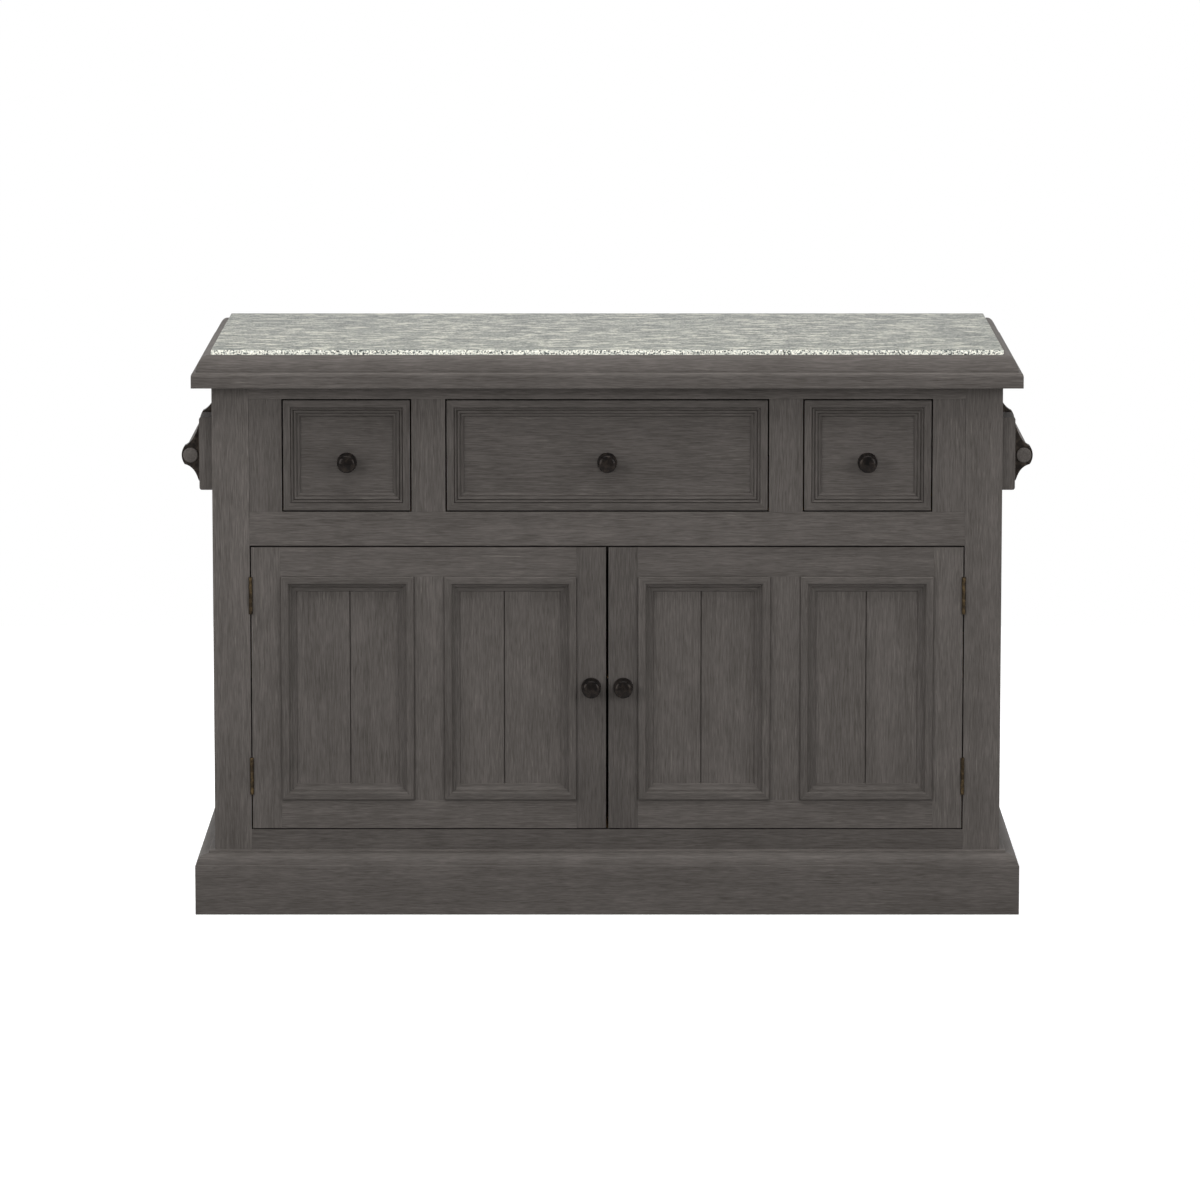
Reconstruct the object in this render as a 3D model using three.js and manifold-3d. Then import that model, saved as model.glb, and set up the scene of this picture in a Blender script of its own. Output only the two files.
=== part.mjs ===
// Kitchen island with an inlaid stone top, three drawers over two boarded doors, and a towel bar
// on each side. Millimetres, +Z up, the front faces -Y. The origin is on the floor, under the
// middle of the island.
import * as THREE from "three";
import { mergeVertices } from "three/addons/utils/BufferGeometryUtils.js";
import Module from "manifold-3d";

const wasm = await Module();
wasm.setup();

// Whole island
const WIDTH = 1330; // over the plinth and over the nose of the top
const DEPTH = 635;
const HEIGHT = 914; // worktop, 36 in
const OVERHANG = 31; // plinth and top beyond the case, all round
const GAP = 0.3; // between pieces that touch
const ARRIS = 0.8; // eased edges of a board

// Case
const CASE_X = WIDTH / 2 - OVERHANG;
const CASE_Y = DEPTH / 2 - OVERHANG;
const BOARD = 20; // thickness of face frame, sides, back and doors
const INNER_X = CASE_X - BOARD;
const INNER_Y = CASE_Y - BOARD;
const HOUSING = 6; // grooves in the sides that hold floor, shelf and drawer deck
const CASE_TOP = 855;
const PLINTH_FACE = 80;
const PLINTH_TOP = 102.5;

// Face frame: heights from the floor, widths from the middle
const DOOR_BOTTOM = 134.5;
const DOOR_TOP = 597.5;
const DRAWER_BOTTOM = 652.3;
const DRAWER_TOP = 834.6;
const OPENING_X = 574.6; // inner edge of the two long stiles
const CENTRE_DRAWER_X = 259.7;
const SIDE_DRAWER_X = [314, 522];
const RAIL_FOOT = 60; // the bottom rail runs on down behind the plinth
const DOOR_STOP = { drop: 12, depth: 12 }; // lip on the middle rail, behind the doors

// Sides and back: framed, with boarded panels in moulded recesses
const RECESS = { depth: 9, moulding: 12, shoulder: 2 };
const WALL_FOOT = 165; // bottom of the recesses
const SIDE_RECESS = { near: 28, far: 200, top: 590 };
const REAR_RECESS = { count: 4, margin: 66, muntin: 50, top: 790 };

// Inside
const FLOOR_THICK = 20;
const DECK_THICK = 18;
const SHELF = { z: 356, thick: 18, setback: 30 };
const GUIDE = { width: 18, height: 22 }; // battens that keep the drawers straight

// Doors
const DOOR_GAP = 2; // beside and under a door, and half the gap between the two
const HEAD_GAP = 2.6; // over a door
const PANEL_X = { inner: [49.5, 262.5], outer: [310.9, 525.4] };
const PANEL_Z = [182.9, 547.4];
const PANEL_BACK = 16; // from the door's face to the back of a panel
const PANEL_FIELD = { inset: 25.4, depth: 10 }; // the boards inside a door's moulding
const V_GROOVE = { width: 2.2, depth: 3 };

// Hinges
const HINGE_X = 573.6; // the axis, in the gap beside the door
const HINGE_Y = -CASE_Y - 1.2;
const HINGE_LENGTH = 60;
const HINGE_Z = { lower: 192, upper: 486.5 };
const KNUCKLES = 5;
const BARREL_R = 3;
const PIN_R = 1.45;
const BORE_R = 2;
const BARREL_PLAY = 0.4; // round the barrel, in the stile and in the door
const LEAF = { near: 3.5, far: 17, from: 0.5, to: 2.1 };

// Drawers
const DRAWER_GAP = 2.3;
const DRAWER_BOX = { depth: 480, wall: 12, height: 150, bottom: 6, play: 3, lift: 1 };

// Knobs
const KNOB = { rose: 16, neck: 6.5, head: 14.3, length: 29 };
const DRAWER_KNOB_Z = 731;
const DRAWER_FIELD = 11; // from the face of a drawer front back to its flat field
const DOOR_KNOB = { x: 25.8, z: 367 };

// Top
const STONE = { x: CASE_X + 0.5, y: CASE_Y + 0.5, thick: 20, ease: 2 };
const NOSE_TOP = 880; // upright face of the wooden edge, under its cove
const LEDGE_TOP = 906; // flat of the wooden edge beside the stone
const TOP_RAIL = 80; // width of the mitred frame round the stone
const SUB_TOP = { thick: 18, ledge: 20 };

// Towel bars
const TOWEL_Y = 241.5; // middle of each block and bracket, from the middle of the island
const TOWEL_BLOCK = { y: 75, z: 117, thick: 21, ease: 4, middle: 745.5 };
const FLANGE = { width: 26, height: 91, thick: 2.5, middle: 742.6 };
const LOBE = { r: 25.5, out: 4, width: 20 }; // a round that stands out from the flange
const LOBE_LEAN = 0.95; // where each flare leaves the lobe, in radians from upright
const FLARES = { upper: { knee: [10.5, 21], foot: 46 }, lower: { knee: [8, 19], foot: 41.5 } };
const DOWEL = { r: 12, out: 15, z: 740, past: 4, bore: 12.5, ease: 1.5 };

const PAINT = { color: 0x5a5552, roughness: 0.55, metalness: 0 };
const FIELD_PAINT = { color: 0x504c49, roughness: 0.55, metalness: 0 };
const GRANITE = { color: 0xb4b6ac, roughness: 0.3, metalness: 0 };
const BRONZE = { color: 0x2a2420, roughness: 0.4, metalness: 0.7 };
const AGED_BRASS = { color: 0x4a3d28, roughness: 0.45, metalness: 0.8 };
const IRON = { color: 0x1b1816, roughness: 0.5, metalness: 0.6 };
const BARE_WOOD = { color: 0xc09a6b, roughness: 0.6, metalness: 0 };

const island = new THREE.Group();

function add(name, geometry, finish) {
  const mesh = new THREE.Mesh(geometry, new THREE.MeshStandardMaterial(finish));
  mesh.name = name;
  island.add(mesh);
}

// ---- joining and cutting ----

// A closed geometry as a solid that can be joined and cut.
function solid(geometry) {
  const bare = geometry.clone();
  bare.deleteAttribute("normal");
  bare.deleteAttribute("uv");
  const merged = mergeVertices(bare, 1e-4);
  const mesh = new wasm.Mesh({
    numProp: 3,
    vertProperties: merged.attributes.position.array,
    triVerts: new Uint32Array(merged.index.array),
  });
  return new wasm.Manifold(mesh);
}

function geometryOf(manifold) {
  const mesh = manifold.getMesh();
  const geometry = new THREE.BufferGeometry();
  geometry.setAttribute("position", new THREE.BufferAttribute(mesh.vertProperties, 3));
  geometry.setIndex(new THREE.BufferAttribute(mesh.triVerts, 1));
  return geometry;
}

function cut(body, ...cutters) {
  return geometryOf(cutters.reduce((left, cutter) => left.subtract(solid(cutter)), solid(body)));
}

function join(...bodies) {
  return geometryOf(bodies.map(solid).reduce((whole, body) => whole.add(body)));
}

function common(first, second) {
  return geometryOf(solid(first).intersect(solid(second)));
}

// ---- forms ----

// The points of a profile: [x, y] is a straight run, and [x, y, cx, cy] a curve from the last
// point whose end tangents meet at (cx, cy).
function profile(runs, curveSteps = 4) {
  const path = new THREE.Path();
  path.moveTo(...runs[0]);
  for (const [x, y, cx, cy] of runs.slice(1)) {
    if (cx === undefined) path.lineTo(x, y);
    else path.quadraticCurveTo(cx, cy, x, y);
  }
  return path.getPoints(curveSteps);
}

function extrude(shape, depth, curveSegments = 8) {
  return new THREE.ExtrudeGeometry(shape, { depth, bevelEnabled: false, curveSegments });
}

// A rectangle of material with a moulded edge. The profile runs from the back to the front as
// inset and level, and turns the corners in mitres. Lies in XZ, back at Y 0, front towards -Y.
function moulded(width, height, edge) {
  const corners = [[-1, -1], [1, -1], [1, 1], [-1, 1]];
  const vertices = edge.flatMap(({ x: inset, y: level }) =>
    corners.flatMap(([sx, sz]) => [sx * (width / 2 - inset), -level, sz * (height / 2 - inset)]),
  );
  const faces = [0, 2, 1, 0, 3, 2];
  for (let ring = 0; ring + 1 < edge.length; ring++) {
    for (let side = 0; side < 4; side++) {
      const a = ring * 4 + side;
      const b = ring * 4 + ((side + 1) % 4);
      faces.push(a, b, b + 4, a, b + 4, a + 4);
    }
  }
  const front = (edge.length - 1) * 4;
  faces.push(front, front + 1, front + 2, front, front + 2, front + 3);
  const geometry = new THREE.BufferGeometry();
  geometry.setAttribute("position", new THREE.Float32BufferAttribute(vertices, 3));
  geometry.setIndex(faces);
  return geometry;
}

// A sharp box between two corners.
function box(low, high) {
  const size = high.map((value, axis) => value - low[axis]);
  const middle = high.map((value, axis) => (value + low[axis]) / 2);
  return new THREE.BoxGeometry(...size).translate(...middle);
}

// The same, with the edges of its front and back eased.
function board(low, high) {
  const size = high.map((value, axis) => value - low[axis]);
  const edge = profile([[ARRIS, 0], [0, ARRIS], [0, size[1] - ARRIS], [ARRIS, size[1]]]);
  const geometry = moulded(size[0], size[2], edge);
  return geometry.translate((low[0] + high[0]) / 2, high[1], (low[2] + high[2]) / 2);
}

// Four lengths of one section, mitred round a rectangle. The section is given as distance in from
// the outer face, and height.
function mitredFrame(name, section, width, depth) {
  const members = [["front", width, depth], ["right", depth, width],
    ["rear", width, depth], ["left", depth, width]];
  members.forEach(([side, length, across], turns) => {
    const member = extrude(new THREE.Shape(section), length);
    const place = member.attributes.position;
    for (let i = 0; i < place.count; i++) {
      const shortened = place.getX(i) + GAP;
      place.setZ(i, place.getZ(i) === 0 ? shortened : length - shortened);
    }
    // in, up, along become Y, Z, X
    member.rotateX(Math.PI / 2).rotateZ(Math.PI / 2).translate(-length / 2, -across / 2, 0);
    member.rotateZ((turns * Math.PI) / 2);
    add(name + "_" + side, member, PAINT);
  });
}

// ---- plinth and top ----

function plinth() {
  const section = profile([
    [0, 0],
    [0, PLINTH_FACE - ARRIS],
    [ARRIS, PLINTH_FACE],
    [2.6, PLINTH_FACE + 0.6],
    [3.2, PLINTH_FACE + 4],
    [20, PLINTH_TOP - 4.5, 5, PLINTH_TOP - 6],
    [21, PLINTH_TOP - 4.3],
    [21.2, PLINTH_TOP - 2.3],
    [23.5, PLINTH_TOP - 0.5, 21.2, PLINTH_TOP - 0.5],
    [OVERHANG - GAP, PLINTH_TOP],
    [OVERHANG - GAP, 0],
  ]);
  mitredFrame("plinth", section, WIDTH, DEPTH);
}

function top() {
  const stoneWall = WIDTH / 2 - STONE.x - GAP;
  const seat = HEIGHT - STONE.thick - GAP;
  const ledge = seat - SUB_TOP.thick - GAP;
  const section = profile([
    [0, CASE_TOP],
    [0, NOSE_TOP - 7.5],
    [6, NOSE_TOP, 0, NOSE_TOP],
    [7.5, NOSE_TOP],
    [7.5, NOSE_TOP + 2.5],
    [24.5, LEDGE_TOP, 13, LEDGE_TOP - 1],
    [stoneWall, LEDGE_TOP],
    [stoneWall, seat],
    [TOP_RAIL - SUB_TOP.ledge, seat],
    [TOP_RAIL - SUB_TOP.ledge, ledge],
    [TOP_RAIL, ledge],
    [TOP_RAIL, CASE_TOP],
  ]);
  mitredFrame("top_frame", section, WIDTH, DEPTH);

  const subTopX = WIDTH / 2 - TOP_RAIL + SUB_TOP.ledge - GAP;
  const subTopY = DEPTH / 2 - TOP_RAIL + SUB_TOP.ledge - GAP;
  add("sub_top", box([-subTopX, -subTopY, ledge + GAP], [subTopX, subTopY, seat]), BARE_WOOD);

  const { x, y, thick, ease } = STONE;
  const edge = profile([[0, 0], [0, thick - ease], [ease, thick, 0, thick]]);
  const stone = moulded(2 * x, 2 * y, edge).rotateX(-Math.PI / 2);
  add("stone_top", stone.translate(0, 0, HEIGHT - thick), GRANITE);
}

// ---- hinges ----

// A cutter along the hinge axis of one side, which points out of the door towards the stile.
function hingeSeat(out, z) {
  const r = BARREL_R + BARREL_PLAY;
  const relief = new THREE.CylinderGeometry(r, r, HINGE_LENGTH + 2 * GAP, 16);
  relief.rotateX(Math.PI / 2).translate(0, 0, HINGE_LENGTH / 2);
  const reach = (LEAF.to + GAP) * out;
  const mortise = box(
    [Math.min(0, reach), -1, -GAP],
    [Math.max(0, reach), LEAF.far + GAP, HINGE_LENGTH + GAP],
  );
  return join(relief, mortise).translate(0, HINGE_Y, z);
}

function hingePlate(out, ownKnuckles) {
  const low = out > 0 ? LEAF.from : -LEAF.to;
  const high = out > 0 ? LEAF.to : -LEAF.from;
  const plates = [box([low, LEAF.near, 0], [high, LEAF.far, HINGE_LENGTH])];
  for (const knuckle of ownKnuckles) {
    const [bottom, top] = knuckleSpan(knuckle);
    plates.push(box([low, BORE_R + 0.2, bottom], [high, LEAF.near + 0.2, top]));
  }
  return join(...plates);
}

function knuckleSpan(knuckle) {
  const pitch = HINGE_LENGTH / KNUCKLES;
  return [knuckle * pitch + GAP / 2, (knuckle + 1) * pitch - GAP / 2];
}

// The leaf on the stile: a plate with the second and fourth knuckles, bored for the pin.
function frameLeaf(out) {
  const ring = new THREE.Shape().absarc(0, 0, BARREL_R, 0, 2 * Math.PI);
  ring.holes.push(new THREE.Path().absarc(0, 0, BORE_R, 0, 2 * Math.PI));
  const own = [1, 3];
  const knuckles = own.map((knuckle) => {
    const [bottom, top] = knuckleSpan(knuckle);
    return extrude(ring, top - bottom, 8).translate(0, 0, bottom);
  });
  return join(hingePlate(out, own), ...knuckles);
}

// The leaf on the door: a plate with the other three knuckles and the pin turned in one.
function doorLeaf(out) {
  const own = [0, 2, 4];
  const turned = [[0, 0]];
  for (const knuckle of own) {
    const [bottom, top] = knuckleSpan(knuckle);
    const foot = knuckle === 0 ? 0 : bottom;
    const head = knuckle === KNUCKLES - 1 ? HINGE_LENGTH : top;
    turned.push([knuckle === 0 ? BARREL_R : PIN_R, foot], [BARREL_R, foot], [BARREL_R, head]);
    if (knuckle < KNUCKLES - 1) turned.push([PIN_R, head]);
  }
  turned.push([0, HINGE_LENGTH]);
  const points = turned.map(([r, z]) => new THREE.Vector2(r, z));
  const distinct = points.filter((point, i) => i === 0 || !point.equals(points[i - 1]));
  return join(hingePlate(-out, own), new THREE.LatheGeometry(distinct, 16).rotateX(Math.PI / 2));
}

// ---- case ----

const SIDES = { left: -1, right: 1 };

// A span of X on one side of the middle, lowest first.
function span(out, [near, far]) {
  return out > 0 ? [near, far] : [-far, -near];
}

function faceFrame() {
  const [front, rear] = [-CASE_Y, -INNER_Y - GAP];
  for (const [side, out] of Object.entries(SIDES)) {
    const [x0, x1] = span(out, [OPENING_X, CASE_X]);
    const stile = board([x0, front, 0], [x1, rear, CASE_TOP - GAP]);
    const seats = Object.values(HINGE_Z).map((z) => hingeSeat(out, z).translate(out * HINGE_X, 0, 0));
    add("stile_" + side, cut(stile, ...seats), PAINT);

    const shortStiles = {
      inner: [CENTRE_DRAWER_X, SIDE_DRAWER_X[0]],
      outer: [SIDE_DRAWER_X[1], OPENING_X - GAP],
    };
    for (const [place, range] of Object.entries(shortStiles)) {
      const [s0, s1] = span(out, range);
      const low = [s0, front, DRAWER_BOTTOM + GAP];
      add("drawer_stile_" + side + "_" + place, board(low, [s1, rear, DRAWER_TOP - GAP]), PAINT);
    }
  }

  const end = OPENING_X - GAP;
  add("rail_top", board([-end, front, DRAWER_TOP], [end, rear, CASE_TOP - GAP]), PAINT);
  add("rail_bottom", board([-end, front, RAIL_FOOT], [end, rear, DOOR_BOTTOM]), PAINT);

  // The middle rail has a lip behind the doors, which they close against.
  const lipFront = -INNER_Y + GAP;
  const lipRear = lipFront + DOOR_STOP.depth;
  const section = profile([
    [front, DOOR_TOP + ARRIS],
    [front + ARRIS, DOOR_TOP],
    [lipFront, DOOR_TOP],
    [lipFront, DOOR_TOP - DOOR_STOP.drop],
    [lipRear, DOOR_TOP - DOOR_STOP.drop],
    [lipRear, DRAWER_BOTTOM - DECK_THICK - 2 * GAP],
    [rear, DRAWER_BOTTOM - DECK_THICK - 2 * GAP],
    [rear, DRAWER_BOTTOM],
    [front + ARRIS, DRAWER_BOTTOM],
    [front, DRAWER_BOTTOM - ARRIS],
  ]);
  const rail = extrude(new THREE.Shape(section), 2 * end);
  rail.rotateX(Math.PI / 2).rotateZ(Math.PI / 2).translate(-end, 0, 0);
  add("rail_middle", rail, PAINT);
}

// A side or the back in its own frame: the outside faces -Y, and Z 0 is its foot. Each pocket is a
// recess with a moulded edge and a floor of V-grooved boards.
function panelled(width, height, pockets) {
  const { depth, moulding: lip, shoulder } = RECESS;
  const rim = BOARD - depth;
  const edge = profile([
    [lip, rim],
    [lip, rim + 1.2],
    [2.5, BOARD - shoulder, lip - 2, BOARD - 1],
    [0, BOARD - shoulder],
    [0, BOARD + 1],
  ]);
  const cutters = pockets.flatMap(([x0, x1, z0, z1]) => {
    const pocket = moulded(x1 - x0, z1 - z0, edge);
    pocket.translate((x0 + x1) / 2, 0, (z0 + z1) / 2);
    return [pocket, vGroove((x0 + x1) / 2, -rim, z0 + lip, z1 - lip)];
  });
  const plain = board([-width / 2, -BOARD, 0], [width / 2, 0, height]);
  return cut(plain, ...cutters);
}

// The joint between two boards, as a cutter that enters a surface facing -Y.
function vGroove(x, surface, bottom, top) {
  const half = V_GROOVE.width / 2;
  const section = new THREE.Shape([
    new THREE.Vector2(x - half, surface - 0.5),
    new THREE.Vector2(x + half, surface - 0.5),
    new THREE.Vector2(x, surface + V_GROOVE.depth),
  ]);
  return extrude(section, top - bottom).translate(0, 0, bottom);
}

function caseWalls() {
  const height = CASE_TOP - GAP;
  const sideWidth = 2 * (INNER_Y - GAP);
  const { near, far, top: sideTop } = SIDE_RECESS;
  const sidePockets = [[-far, -near, WALL_FOOT, sideTop], [near, far, WALL_FOOT, sideTop]];
  const housings = [
    [DOOR_BOTTOM - FLOOR_THICK, DOOR_BOTTOM, -INNER_Y],
    [SHELF.z, SHELF.z + SHELF.thick, SHELF.setback - INNER_Y],
    [DRAWER_BOTTOM - DECK_THICK, DRAWER_BOTTOM, -INNER_Y],
  ];
  for (const [side, out] of Object.entries(SIDES)) {
    const wall = panelled(sideWidth, height, sidePockets);
    wall.rotateZ((out * Math.PI) / 2).translate(out * INNER_X, 0, 0);
    const [x0, x1] = span(out, [INNER_X - 1, INNER_X + HOUSING]);
    const grooves = housings.map(([bottom, top, y]) =>
      box([x0, y - GAP, bottom - GAP], [x1, INNER_Y + 1, top + GAP]),
    );
    add("side_" + side, cut(wall, ...grooves), PAINT);
  }

  const { count, margin, muntin, top: rearTop } = REAR_RECESS;
  const pitch = (2 * CASE_X - 2 * margin + muntin) / count;
  const backPockets = Array.from({ length: count }, (_, i) => {
    const x = -CASE_X + margin + i * pitch;
    return [x, x + pitch - muntin, WALL_FOOT, rearTop];
  });
  const back = panelled(2 * CASE_X, height, backPockets);
  add("back", back.rotateZ(Math.PI).translate(0, INNER_Y, 0), PAINT);
}

function caseInside() {
  const end = INNER_X + HOUSING - GAP;
  const rear = INNER_Y - GAP;
  const floorTop = DOOR_BOTTOM - GAP;
  add("cabinet_floor", box([-end, -rear, DOOR_BOTTOM - FLOOR_THICK], [end, rear, floorTop]), BARE_WOOD);
  const shelfFront = SHELF.setback - INNER_Y;
  add("shelf", board([-end, shelfFront, SHELF.z], [end, rear, SHELF.z + SHELF.thick]), BARE_WOOD);

  // The deck carries the drawers. A batten behind each short stile guides them.
  const deckTop = DRAWER_BOTTOM - GAP;
  const deck = box([-end, -rear, DRAWER_BOTTOM - DECK_THICK], [end, rear, deckTop]);
  const battens = Object.values(SIDES).flatMap((out) =>
    [[CENTRE_DRAWER_X, SIDE_DRAWER_X[0]], [SIDE_DRAWER_X[1], SIDE_DRAWER_X[1] + GUIDE.width]].map(
      (range) => {
        const [x0, x1] = span(out, range);
        return box([x0, -rear, deckTop - 1], [x1, rear, deckTop + GUIDE.height]);
      },
    ),
  );
  add("drawer_deck", join(deck, ...battens), BARE_WOOD);
}

// ---- doors ----

function knob(name, x, base, z) {
  const { rose, neck, head, length } = KNOB;
  const turned = profile([
    [0, 0],
    [rose, 0],
    [rose, 1.2],
    [rose - 1.5, 3, rose, 3],
    [neck + 2.5, 4],
    [neck, 7, neck + 0.3, 4.6],
    [neck, 12],
    [head - 1.8, 18.5, neck + 1, 17.5],
    [head, 21.5, head, 19],
    [head, 23.5],
    [head - 2.1, 26.2, head, 26],
    [head - 2.9, 26.4],
    [0, length, 6, length - 0.1],
  ], 3);
  const geometry = new THREE.LatheGeometry(turned, 20);
  add(name, geometry.rotateX(Math.PI).translate(x, base - GAP, z), BRONZE);
}

// One door, hinged on its outer edge: a frame of stiles and rails round two boarded panels.
function door(side, out) {
  const [x0, x1] = span(out, [DOOR_GAP, HINGE_X - (OPENING_X - HINGE_X)]);
  const [z0, z1] = [DOOR_BOTTOM + DOOR_GAP, DOOR_TOP - HEAD_GAP];
  const openings = Object.entries(PANEL_X).map(([place, range]) => [place, span(out, range)]);

  const shape = rectangle([x0, x1], [z0, z1], new THREE.Shape());
  for (const [, range] of openings) shape.holes.push(rectangle(range, PANEL_Z, new THREE.Path()));
  const frame = new THREE.ExtrudeGeometry(shape, {
    depth: BOARD - 2 * ARRIS,
    bevelThickness: ARRIS,
    bevelSize: ARRIS,
    bevelOffset: -ARRIS,
    bevelSegments: 1,
  });
  frame.rotateX(Math.PI / 2).translate(0, -CASE_Y + BOARD - ARRIS, 0);
  const seats = Object.values(HINGE_Z).map((z) => hingeSeat(-out, z).translate(out * HINGE_X, 0, 0));
  add("door_" + side + "_frame", cut(frame, ...seats), PAINT);

  const edge = profile([
    [0, 0],
    [0, PANEL_BACK + 1.5],
    [2.5, PANEL_BACK + 4, 0, PANEL_BACK + 4],
    [13, PANEL_BACK + 3],
    [13.8, PANEL_BACK + 0.2],
    [18, PANEL_BACK - 0.4, 15.5, PANEL_BACK + 4],
    [18.6, PANEL_BACK - 4],
    [24.6, PANEL_BACK - 8, 19.4, PANEL_BACK - 8],
    [PANEL_FIELD.inset, PANEL_BACK - PANEL_FIELD.depth],
  ]);
  for (const [place, [p0, p1]] of openings) {
    const panel = moulded(p1 - p0 - 2 * GAP, PANEL_Z[1] - PANEL_Z[0] - 2 * GAP, edge);
    panel.translate((p0 + p1) / 2, -CASE_Y + PANEL_BACK, (PANEL_Z[0] + PANEL_Z[1]) / 2);
    const [low, high] = [PANEL_Z[0] + PANEL_FIELD.inset, PANEL_Z[1] - PANEL_FIELD.inset];
    const joint = vGroove((p0 + p1) / 2, PANEL_FIELD.depth - CASE_Y, low, high);
    add("door_" + side + "_panel_" + place, cut(panel, joint), FIELD_PAINT);
  }
  knob("door_" + side + "_knob", out * DOOR_KNOB.x, -CASE_Y, DOOR_KNOB.z);

  for (const [level, z] of Object.entries(HINGE_Z)) {
    const place = [out * HINGE_X, HINGE_Y, z];
    add("hinge_" + side + "_" + level + "_frame_leaf", frameLeaf(out).translate(...place), AGED_BRASS);
    add("hinge_" + side + "_" + level + "_door_leaf", doorLeaf(out).translate(...place), AGED_BRASS);
  }
}

// The outline of a rectangle in XZ, for a shape that is later turned upright about X.
function rectangle([x0, x1], [z0, z1], path) {
  path.moveTo(x0, z0);
  path.lineTo(x1, z0);
  path.lineTo(x1, z1);
  path.lineTo(x0, z1);
  path.closePath();
  return path;
}

// ---- drawers ----

function drawer(name, [open0, open1]) {
  const middle = (open0 + open1) / 2;
  const width = open1 - open0 - 2 * DRAWER_GAP;
  const height = DRAWER_TOP - DRAWER_BOTTOM - 2 * DRAWER_GAP;
  const face = BOARD;
  const edge = profile([
    [0, 0],
    [0, face - 0.6],
    [0.6, face],
    [10, face],
    [11, face - 2],
    [14, face - 2, 12.5, face],
    [15, face - 4],
    [20, face - 5.2, 17.5, face - 2.6],
    [21, face - 7.4],
    [25, face - 8.4, 23.4, face - 6.6],
    [26.6, face - DRAWER_FIELD],
  ]);
  const front = moulded(width, height, edge);
  front.translate(middle, -INNER_Y, (DRAWER_TOP + DRAWER_BOTTOM) / 2);
  add("drawer_" + name + "_front", front, PAINT);
  knob("drawer_" + name + "_knob", middle, DRAWER_FIELD - CASE_Y, DRAWER_KNOB_Z);

  const { depth, wall, height: tall, bottom, play, lift } = DRAWER_BOX;
  const half = (open1 - open0) / 2 - play;
  const y0 = -INNER_Y + GAP;
  const y1 = y0 + depth;
  const z0 = DRAWER_BOTTOM + lift;
  const whole = box([middle - half, y0, z0], [middle + half, y1, z0 + tall]);
  const [x0, x1] = [middle - half + wall, middle + half - wall];
  const inside = box([x0, y0 + wall, z0 + 2 * bottom], [x1, y1 - wall, z0 + tall + 1]);
  const under = box([x0, y0 + wall, z0 - 1], [x1, y1 - wall, z0 + bottom]);
  add("drawer_" + name + "_box", cut(whole, inside, under), BARE_WOOD);
}

// ---- towel bars ----

// The cast bracket, out along +X from its block: an oval flange that flares into a lobe bored for
// the dowel.
function bracket() {
  const { width, height, thick, middle } = FLANGE;
  const lift = middle - DOWEL.z;
  const end = width / 2;
  const oval = new THREE.Shape();
  oval.absarc(0, height / 2 - end + lift, end, 0, Math.PI);
  oval.absarc(0, -height / 2 + end + lift, end, Math.PI, 2 * Math.PI);
  const standing = (depth) => extrude(oval, depth).rotateX(Math.PI / 2).rotateZ(Math.PI / 2);

  // The lobe seen from the front, out in X and up in Y, with a flare above it and one below.
  const touch = [LOBE.out + LOBE.r * Math.sin(LOBE_LEAN), LOBE.r * Math.cos(LOBE_LEAN)];
  const round = Math.PI / 2 - LOBE_LEAN;
  const { upper, lower } = FLARES;
  const root = thick / 2;
  const lobe = new THREE.Shape();
  lobe.moveTo(root, -lower.foot);
  lobe.lineTo(thick, -lower.foot);
  lobe.quadraticCurveTo(lower.knee[0], -lower.knee[1], touch[0], -touch[1]);
  lobe.absarc(LOBE.out, 0, LOBE.r, -round, round);
  lobe.quadraticCurveTo(...upper.knee, thick, upper.foot);
  lobe.lineTo(root, upper.foot);
  const cast = extrude(lobe, LOBE.width).rotateX(Math.PI / 2).translate(0, LOBE.width / 2, 0);
  const rounded = common(cast, standing(LOBE.out + 2 * LOBE.r));

  const bore = new THREE.CylinderGeometry(DOWEL.bore, DOWEL.bore, 2 * FLANGE.width, 32);
  return cut(join(standing(thick), rounded), bore.translate(DOWEL.out, 0, 0));
}

function towelBar(side, out) {
  const { y, z, thick, ease, middle } = TOWEL_BLOCK;
  const turn = out > 0 ? 0 : Math.PI;
  const blockFace = CASE_X + thick;
  const edge = profile([[0, 0], [0, thick - GAP - ease], [ease, thick - GAP, 0, thick - GAP]]);
  const places = { front: -TOWEL_Y, rear: TOWEL_Y };
  for (const [end, along] of Object.entries(places)) {
    const wood = moulded(y, z, edge).rotateZ(Math.PI / 2).translate(CASE_X + GAP, 0, middle);
    add("towel_block_" + side + "_" + end, wood.rotateZ(turn).translate(0, along, 0), PAINT);
    const casting = bracket().translate(blockFace + GAP, 0, DOWEL.z).rotateZ(turn);
    add("towel_bracket_" + side + "_" + end, casting.translate(0, along, 0), IRON);
  }

  const half = TOWEL_Y + LOBE.width / 2 + DOWEL.past;
  const turned = profile([
    [0, -half],
    [DOWEL.r - DOWEL.ease, -half],
    [DOWEL.r, DOWEL.ease - half, DOWEL.r, -half],
    [DOWEL.r, half - DOWEL.ease],
    [DOWEL.r - DOWEL.ease, half, DOWEL.r, half],
    [0, half],
  ], 2);
  const bar = new THREE.LatheGeometry(turned, 24);
  bar.translate(out * (blockFace + GAP + DOWEL.out), 0, DOWEL.z);
  add("towel_bar_" + side, bar, PAINT);
}

plinth();
top();
faceFrame();
caseWalls();
caseInside();
for (const [side, out] of Object.entries(SIDES)) {
  door(side, out);
  towelBar(side, out);
  drawer(side, span(out, SIDE_DRAWER_X));
}
drawer("centre", [-CENTRE_DRAWER_X, CENTRE_DRAWER_X]);

export default island;
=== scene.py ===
import math
import random
from contextlib import contextmanager

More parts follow.
